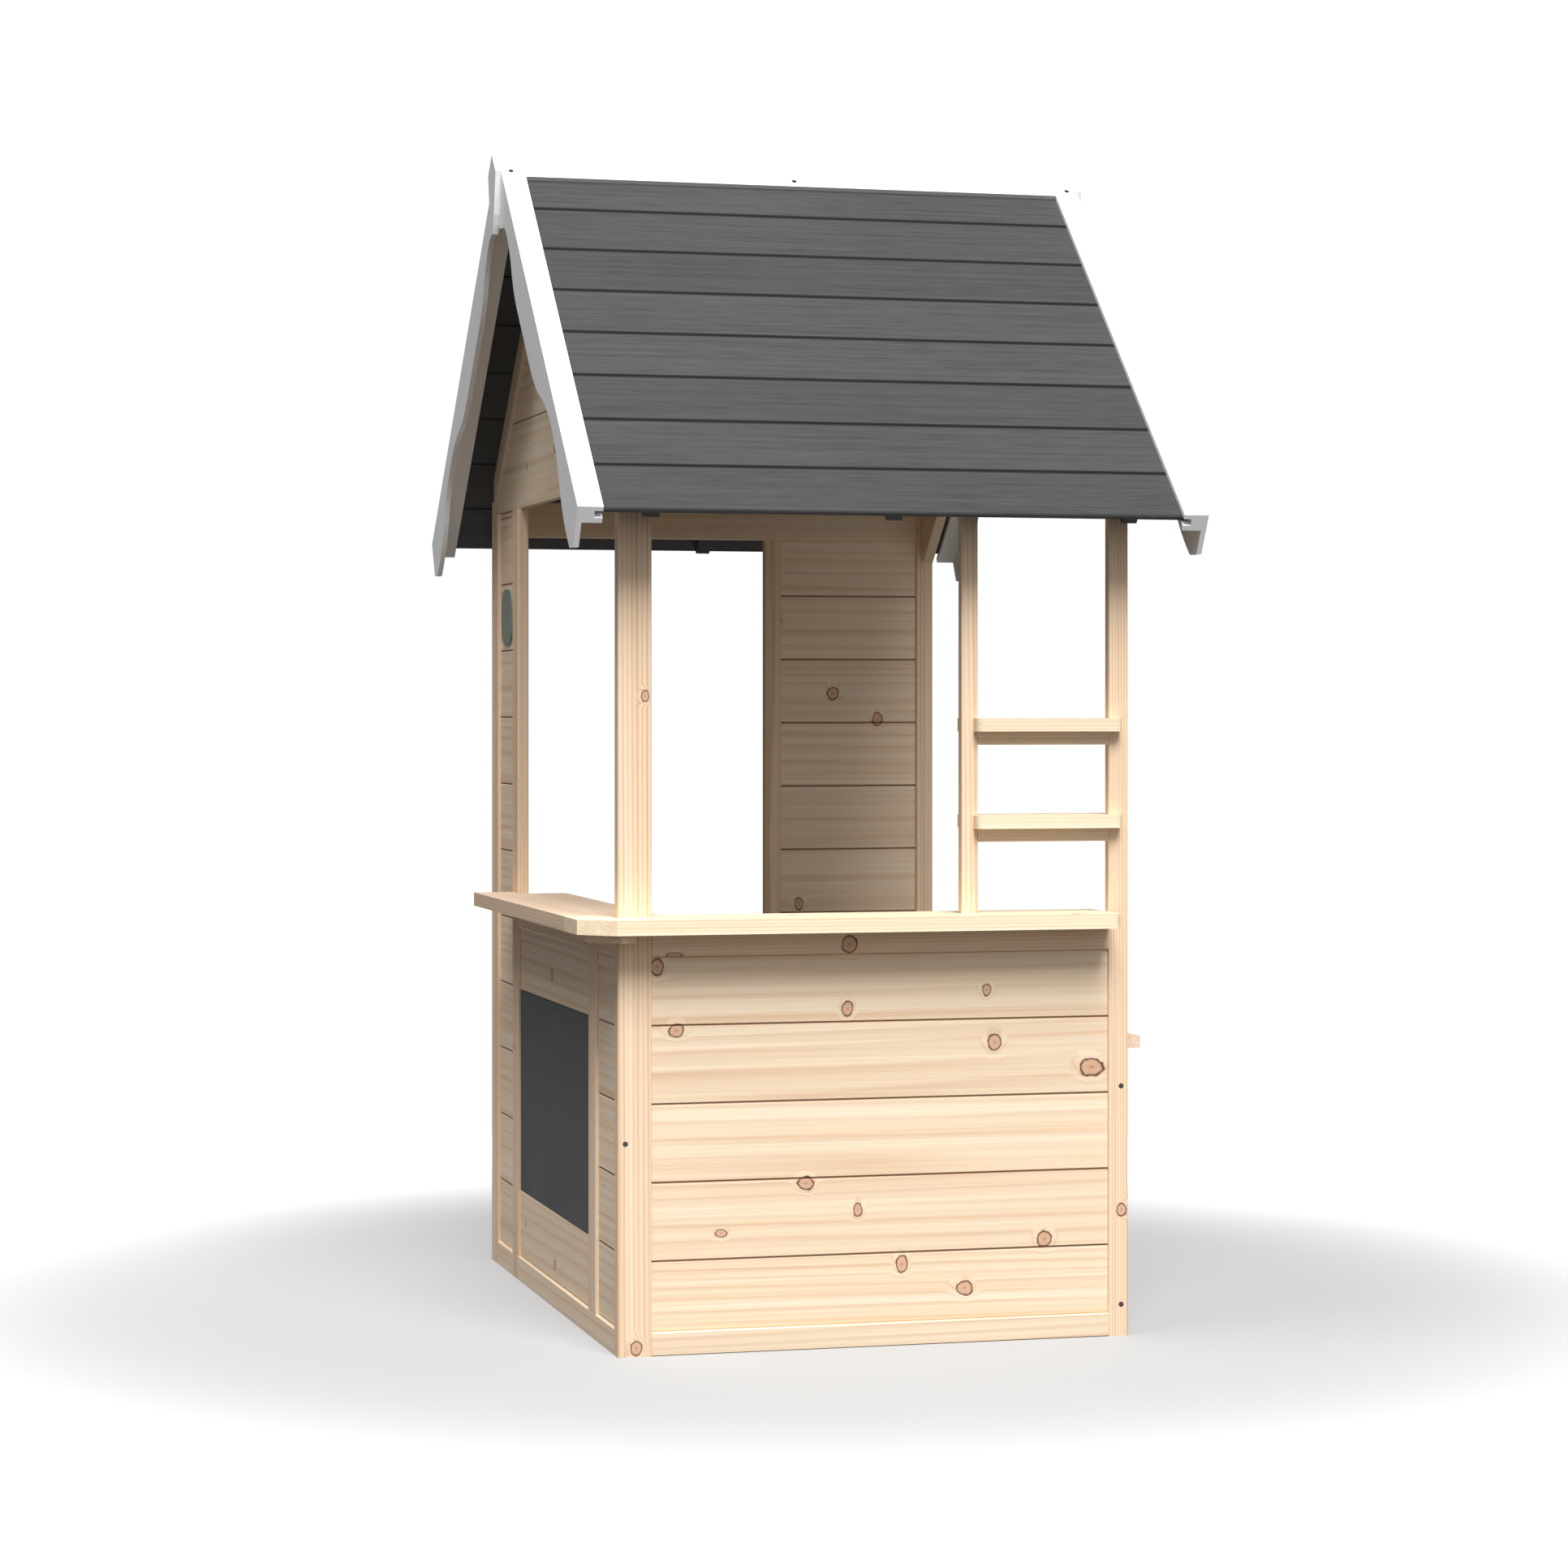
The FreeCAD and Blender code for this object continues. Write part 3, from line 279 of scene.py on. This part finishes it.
# rails, counters and the sloping pieces of the gables
dress(spruce("planed_spruce_cross_rails", X, Z, -Y, knots=RAIL_KNOTS, seed=9),
      "front_header", "front_top_rail", "front_bottom_rail", "rear_top_rail", "rear_bottom_rail",
      "shelf_lower_rail", "shelf_upper_rail", "counter_corner_plate")
dress(spruce("planed_spruce_side_rails", Y, Z, -X, seed=10),
      "left_low_bottom_rail", "left_low_top_rail", "left_tall_bottom_rail",
      "right_bottom_rail", "right_top_rail")
# counter front and shelves are painted lighter (painted light); the side counter and ledge darker (painted
# shade)
dress(spruce("planed_spruce_counter_front", X, Y, Z, knots=COUNTER_KNOTS, seed=11, shade=1.07, figure=0.4,
             pale="#F7E7CB", deep="#EED8B6"),
      "counter_front", "shelf_lower", "shelf_upper")
dress(spruce("planed_spruce_counter_side", Y, X, Z, seed=12, shade=0.93, pale="#F4DCC4", deep="#E6C8AA"),
      "counter_side", "side_ledge")
dress(spruce("planed_spruce_front_rakes", up_front, across_front, -X, seed=13),
      "left_gable_batten_front", "right_rake_board_front")
dress(spruce("planed_spruce_rear_rakes", up_rear, across_rear, -X, seed=14),
      "left_gable_batten_rear", "right_rake_board_rear")


# ---------------------------------------------------------------- stained roof boards

ROOF_FIRST_SEAM = 99 * MM
ROOF_COVER = 105 * MM
ROOF_JOINT = (5.0 * MM, 3.4 * MM)  # where the dark of a joint starts and is full, from the joint's middle
PAINTED_UNDERSIDE_SHADE = (7 * MM, 5 * MM)  # painted shade on the underside: where its dark starts and is full, below the top face
EAVE_Y, EAVE_Z = 625.8 * MM, 1235.4 * MM
ROOF_STREAKS = (2.2, 130.0, 1.0)  # per metre: 450 mm long and 8 mm wide
ROOF_FIBRES = (14.0, 420.0, 1.0)  # 70 mm long and 2.4 mm wide; real ones are too fine to show
ROOF_CLOUDS = (3.0, 7.0, 1.0)  # 330 mm long and 140 mm wide
STAIN_SHINE = (0.5, 0.72)
STAIN_RELIEF = 0.22 * MM
STAIN_DARK, STAIN_WORN, STAIN_CLOUD = "#2F2F2F", "#424243", "#474849"
JOINT_BLACK, UNDERSIDE_SHADE_BLACK = "#0B0B0B", "#191512"


def roof_stain(name, up_slope, eave_end):
    """Dark grey wood stain, brushed on planed boards: it sinks in, so the grain still shows as faint
    lengthwise streaks and low ridges, and it collects nearly black in the joints between boards."""
    material, tree = blank(name)
    place = add(tree, "TexCoord").outputs["Object"]
    up = add(tree, "VectorMath", place, up_slope, operation="DOT_PRODUCT")
    start = eave_end.dot(up_slope) + ROOF_FIRST_SEAM
    steps = add(tree, "MapRange", up, start, start + ROOF_COVER, 0.0, 1.0, clamp=False)
    number = add(tree, "Math", steps, operation="FLOOR")
    middle = add(tree, "Math", add(tree, "Math", steps, operation="FRACT"), 0.5, operation="SUBTRACT")
    dice = add(tree, "TexWhiteNoise", number, noise_dimensions="1D")
    lengthwise = add(tree, "VectorMath", place, X, operation="DOT_PRODUCT")
    own = add(tree, "CombineXYZ", dice, number, 0.0)
    solid = add(tree, "CombineXYZ", lengthwise, up, 0.0)
    streaks_at = add(tree, "VectorMath", solid, ROOF_STREAKS, own, operation="MULTIPLY_ADD")
    streak = add(tree, "TexNoise", streaks_at, 1.0, 4.0, 0.6)
    fibres_at = add(tree, "VectorMath", solid, ROOF_FIBRES, operation="MULTIPLY")
    fibre = add(tree, "TexNoise", fibres_at, 1.0, 2.0)
    clouds_at = add(tree, "VectorMath", solid, ROOF_CLOUDS, own, operation="MULTIPLY_ADD")
    cloud = add(tree, "TexNoise", clouds_at, 1.0, 2.0)
    grain = add(tree, "Math", streak, fibre, operation="ADD")
    grained = add(tree, "Mix", add(tree, "MapRange", grain, 0.75, 1.25), STAIN_DARK, STAIN_WORN,
                  data_type="RGBA")
    clouded = add(tree, "Mix", add(tree, "MapRange", cloud, 0.35, 0.7, 0.0, 0.2), grained, STAIN_CLOUD,
                  data_type="RGBA")
    edge = add(tree, "Math", add(tree, "Math", middle, operation="ABSOLUTE"), ROOF_COVER,
               operation="MULTIPLY")
    seam = add(tree, "MapRange", edge, *(ROOF_COVER / 2 - inset for inset in ROOF_JOINT), 0.0, 0.96)
    seamed = add(tree, "Mix", seam, clouded, JOINT_BLACK, data_type="RGBA")
    outwards = Vector((0, math.copysign(up_slope.z, -up_slope.y), abs(up_slope.y)))
    above = add(tree, "VectorMath", place, outwards, operation="DOT_PRODUCT")
    face = eave_end.dot(outwards)
    # the underside of the boards is painted nearly black: painted shade under the roof
    under = add(tree, "MapRange", above, *(face - depth for depth in PAINTED_UNDERSIDE_SHADE), 0.92, 0.0)
    shaded = add(tree, "Mix", under, seamed, UNDERSIDE_SHADE_BLACK, data_type="RGBA")
    tone = add(tree, "MapRange", dice, 0.0, 1.0, 0.92, 1.08)
    colour = add(tree, "HueSaturation", links={"Value": tone, "Color": shaded})
    roughness = add(tree, "MapRange", grain, 0.7, 1.3, *STAIN_SHINE)
    surface(tree, colour, roughness, grain, STAIN_RELIEF, Specular_IOR_Level=0.35)
    return material


front_roof = roof_stain("dark_stained_spruce_front", up_front, Vector((0, -EAVE_Y, EAVE_Z)))
rear_roof = roof_stain("dark_stained_spruce_rear", up_rear, Vector((0, EAVE_Y, EAVE_Z)))
dress(front_roof, "roof_boards_front", "rafters_front")
dress(rear_roof, "roof_boards_rear", "rafters_rear")


# ---------------------------------------------------------------- paint, chalkboard, screws, plaque

BRUSH_MARKS = (330.0, 330.0, 330.0)  # per metre: bristle marks 3 mm apart
BRUSH_STROKES = (9.0, 9.0, 9.0)  # drawn out to 110 mm along the piece
PAINT_CLOUDS = 6.0  # slow changes of tone, 170 mm apart
# SHADED_WHITE, used on the ridge cap, is the same white a little darker: painted shade
BRIGHT_WHITE, SHADED_WHITE = ("#FAFAFA", "#F0F1F2"), ("#E4E4E6", "#DCDDDF")
SATIN, SEMI_GLOSS = (0.34, 0.5), (0.3, 0.42)
BRUSH_RELIEF, ENAMEL_RELIEF = 0.08 * MM, 0.03 * MM
CHALK_CLOUDS = (1.0, 3.2, 9.0)  # per metre: dust wiped about in strokes 300 mm long and 110 mm high
ROLLER_PEEL = 450.0  # orange-peel bumps 2.2 mm apart
ZINC_CLOUDS = 700.0  # dull patches 1.4 mm apart


def brushed_paint(name, light_tone, dark_tone, grain, roughness_range, relief):
    """Water-based paint brushed on planed wood: an even opaque coat, faint brush marks along the piece, and
    a soft satin shine that breaks up along the marks."""
    material, tree = blank(name)
    place = add(tree, "TexCoord").outputs["Object"]
    along = add(tree, "VectorMath", place, grain, operation="DOT_PRODUCT")
    held = add(tree, "VectorMath", grain, links={"Scale": along}, operation="SCALE")
    crosswise = add(tree, "VectorMath", place, held, operation="SUBTRACT")
    drawn_out = add(tree, "VectorMath", held, BRUSH_STROKES, operation="MULTIPLY")
    marks_at = add(tree, "VectorMath", crosswise, BRUSH_MARKS, drawn_out, operation="MULTIPLY_ADD")
    marks = add(tree, "TexNoise", marks_at, 1.0, 3.0)
    broad = add(tree, "TexNoise", place, PAINT_CLOUDS, 2.0)
    both = add(tree, "Math", marks, 0.6, add(tree, "Math", broad, 0.4, operation="MULTIPLY"),
               operation="MULTIPLY_ADD")
    colour = add(tree, "Mix", add(tree, "MapRange", both, 0.3, 0.7), dark_tone, light_tone, data_type="RGBA")
    roughness = add(tree, "MapRange", marks, 0.3, 0.7, *roughness_range)
    surface(tree, colour, roughness, marks, relief, Specular_IOR_Level=0.45)
    return material


for finish, grain, tones, nodes in (
        ("white_satin_paint_front", up_front, BRIGHT_WHITE,
         ("edge_battens_front", "fascia_left_front", "fascia_right_front")),
        ("white_satin_paint_rear", up_rear, BRIGHT_WHITE,
         ("edge_battens_rear", "fascia_left_rear", "fascia_right_rear")),
        ("shaded_white_satin_paint_ridge", X, SHADED_WHITE, ("ridge_cap_front", "ridge_cap_rear")),
        ("white_satin_paint_finials", Z, BRIGHT_WHITE, ("finial_left", "finial_right"))):
    dress(brushed_paint(finish, *tones, grain, SATIN, BRUSH_RELIEF), *nodes)
dress(brushed_paint("grey_green_enamel", "#8C988A", "#7B887A", Z, SEMI_GLOSS, ENAMEL_RELIEF),
      "left_panel_plaque")


def chalkboard():
    """Chalkboard paint rolled on fibreboard: flat, near-black grey, with a fine orange-peel from the roller
    and pale clouds of chalk dust that a dry cloth has wiped about."""
    material, tree = blank("chalkboard_paint")
    place = add(tree, "TexCoord").outputs["Object"]
    dust_at = add(tree, "VectorMath", place, CHALK_CLOUDS, operation="MULTIPLY")
    dust = add(tree, "TexNoise", dust_at, 1.0, 5.0, 0.6, links={"Distortion": 0.6})
    peel = add(tree, "TexNoise", place, ROLLER_PEEL, 2.0)
    wiped = add(tree, "MapRange", dust, 0.45, 0.8, 0.0, 0.35)
    colour = add(tree, "Mix", wiped, "#3F4143", "#6A6C6E", data_type="RGBA")
    roughness = add(tree, "MapRange", dust, 0.3, 0.8, 0.62, 0.86)
    surface(tree, colour, roughness, peel, 0.1 * MM, Specular_IOR_Level=0.3)
    return material


def zinc():
    """Zinc-plated steel screw heads gone dull outdoors: dark grey metal with a cloudy shine."""
    material, tree = blank("zinc_plated_steel")
    place = add(tree, "TexCoord").outputs["Object"]
    cloud = add(tree, "TexNoise", place, ZINC_CLOUDS, 3.0)
    colour = add(tree, "Mix", cloud, "#45433F", "#615E59", data_type="RGBA")
    roughness = add(tree, "MapRange", cloud, 0.3, 0.7, 0.3, 0.5)
    surface(tree, colour, roughness, cloud, 0.02 * MM, Metallic=1.0)
    return material


dress(chalkboard(), "chalkboard")
dress(zinc(), "cap_screws", "wall_screws")


# ---------------------------------------------------------------- tongues between the boards

TONGUE_HEIGHT, TONGUE_DEPTH, TONGUE_ROUNDING = 5 * MM, 3 * MM, 0.8 * MM
SAW_MARKS = 300.0  # per metre: 3.3 mm apart


def tongues(name, node, seam, cover, count, slot, material):
    """The tongues that close the joints of one wall: a rounded strip across each seam, inside the boards'
    thickness, as long as the boards and seen only as the dark bottom of the gap."""
    low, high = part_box(node)
    middle, length = (low + high) / 2, high - low
    runs_along_y = length.y > length.x
    size = (TONGUE_DEPTH if runs_along_y else length.x, length.y if runs_along_y else TONGUE_DEPTH,
            TONGUE_HEIGHT)
    bpy.ops.object.select_all(action="DESELECT")
    bpy.ops.mesh.primitive_cube_add(size=1, location=(middle.x, middle.y, seam * MM))
    strip = bpy.context.object
    bpy.ops.object.mode_set(mode="EDIT")
    bpy.ops.transform.resize(value=size)
    bpy.ops.mesh.bevel(offset=TONGUE_ROUNDING, segments=2, affect="EDGES")
    bpy.ops.object.mode_set(mode="OBJECT")
    for number in range(1, count):
        copy = strip.copy()
        copy.data = strip.data.copy()
        copy.location.z = (seam + number * cover) * MM
        bpy.context.collection.objects.link(copy)
        copy.select_set(True)
    bpy.ops.object.join()
    bpy.ops.object.transform_apply(location=True, rotation=True, scale=True)
    joined = bpy.context.object
    joined.name = name
    joined.data.materials.append(material)
    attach(joined, "root")


def shadowed_spruce():
    """Rough-sawn spruce at the bottom of a joint: the same wood, painted dark brown and dull as painted shade
    in the gap.
    """
    material, tree = blank("shaded_rough_sawn_spruce")
    place = add(tree, "TexCoord").outputs["Object"]
    saw = add(tree, "TexNoise", place, SAW_MARKS, 2.0)
    colour = add(tree, "Mix", saw, "#5C4129", "#7A5A3E", data_type="RGBA")
    surface(tree, colour, add(tree, "MapRange", saw, 0.3, 0.7, 0.8, 0.95), saw, 0.2 * MM,
            Specular_IOR_Level=0.2)
    return material


tongue_wood = shadowed_spruce()
for name, node, wall, count in (
        ("front_wall_tongues", "front_wall_boards", FRONT_WALL, 4),
        ("left_narrow_tongues", "left_narrow_boards", NARROW_WALL, 4),
        ("left_tall_tongues", "left_tall_boards", TALL_WALL, 10),
        ("rear_tongues", "rear_boards", REAR_WALL, 10),
        ("right_wall_tongues", "right_wall_boards", RIGHT_WALL, 2)):
    tongues(name, node, *wall, count, "pine", tongue_wood)


# ---------------------------------------------------------------- floor, light and camera

FLOOR_RADIUS = 2.4
FLOOR_FADE = (0.8, 2.3)  # metres from the middle over which the painted grey shadow turns to the backdrop's white
FLOOR_GLOW = 0.3  # a painted glow that keeps the shadow under the house pale
FILL_BELOW, FILL_ABOVE, BACKDROP = 0.09, 0.38, 1.05


def studio_floor():
    """Matt pale studio floor: grey in the middle as painted shadow under the house, fading to nearly white at
    the rim, with a faint unevenness and a faint painted glow.
    """
    material, tree = blank("matt_studio_floor")
    place = add(tree, "TexCoord").outputs["Object"]
    uneven = add(tree, "TexNoise", place, 1.5, 2.0)
    out = add(tree, "VectorMath", place, operation="LENGTH")
    rim = add(tree, "MapRange", out, *FLOOR_FADE, interpolation_type="SMOOTHERSTEP")
    # the grey middle is painted shadow under the house
    colour = add(tree, "Mix", rim, "#8E8E8E", "#E4E4E4", data_type="RGBA")
    roughness = add(tree, "MapRange", uneven, 0.3, 0.7, 0.75, 0.85)
    surface(tree, colour, roughness, uneven, 0.01 * MM, Specular_IOR_Level=0.2,
            Emission_Color=(1, 1, 1, 1), Emission_Strength=FLOOR_GLOW)
    return material


bpy.ops.object.select_all(action="DESELECT")
bpy.ops.mesh.primitive_circle_add(vertices=96, radius=FLOOR_RADIUS, fill_type="NGON", location=(0, 0, 0))
floor = bpy.context.object
floor.name = "studio_floor"
floor.data.materials.append(studio_floor())
floor.visible_diffuse = False  # no light bounced from it onto the undersides

world = bpy.data.worlds.new("studio")
world.use_nodes = True
world.node_tree.nodes.clear()
sky = world.node_tree
aim = add(sky, "TexCoord").outputs["Generated"]
height = add(sky, "VectorMath", aim, Z, operation="DOT_PRODUCT")
overhead = add(sky, "MapRange", height, -0.1, 1.0, FILL_BELOW, FILL_ABOVE)
fill = add(sky, "Background", "#FFFFFF", overhead)
backdrop = add(sky, "Background", "#FFFFFF", BACKDROP)
seen = add(sky, "LightPath").outputs["Is Camera Ray"]
add(sky, "OutputWorld", links={"Surface": add(sky, "MixShader", seen, fill, backdrop)})
bpy.context.scene.world = world


def soft_lamp(name, direction, strength, spread):
    """A very wide, even light from one side, as from a bank of diffusers; spread in degrees."""
    lamp = bpy.data.lights.new(name, "SUN")
    lamp.energy = strength
    lamp.angle = math.radians(spread)
    holder = bpy.data.objects.new(name, lamp)
    holder.rotation_euler = Vector(direction).to_track_quat("-Z", "Y").to_euler()
    bpy.context.collection.objects.link(holder)


soft_lamp("key_light", (0.02, 0.58, -0.81), 4.3, 32)
soft_lamp("side_light", (0.40, 0.1, -0.9), 1.3, 24)
soft_lamp("front_fill", (-0.06, 0.95, -0.30), 0.55, 60)

camera = bpy.data.objects.new("camera", bpy.data.cameras.new("camera"))
camera.location = (-1.5556, -5.8970, 0.9435)
camera.rotation_euler = (math.radians(90), 0, math.radians(-14.70))
camera.data.lens = 86.45
camera.data.sensor_width = 36
camera.data.shift_y = -0.0458
bpy.context.collection.objects.link(camera)
bpy.context.scene.camera = camera
bpy.context.scene.view_settings.view_transform = "Standard"
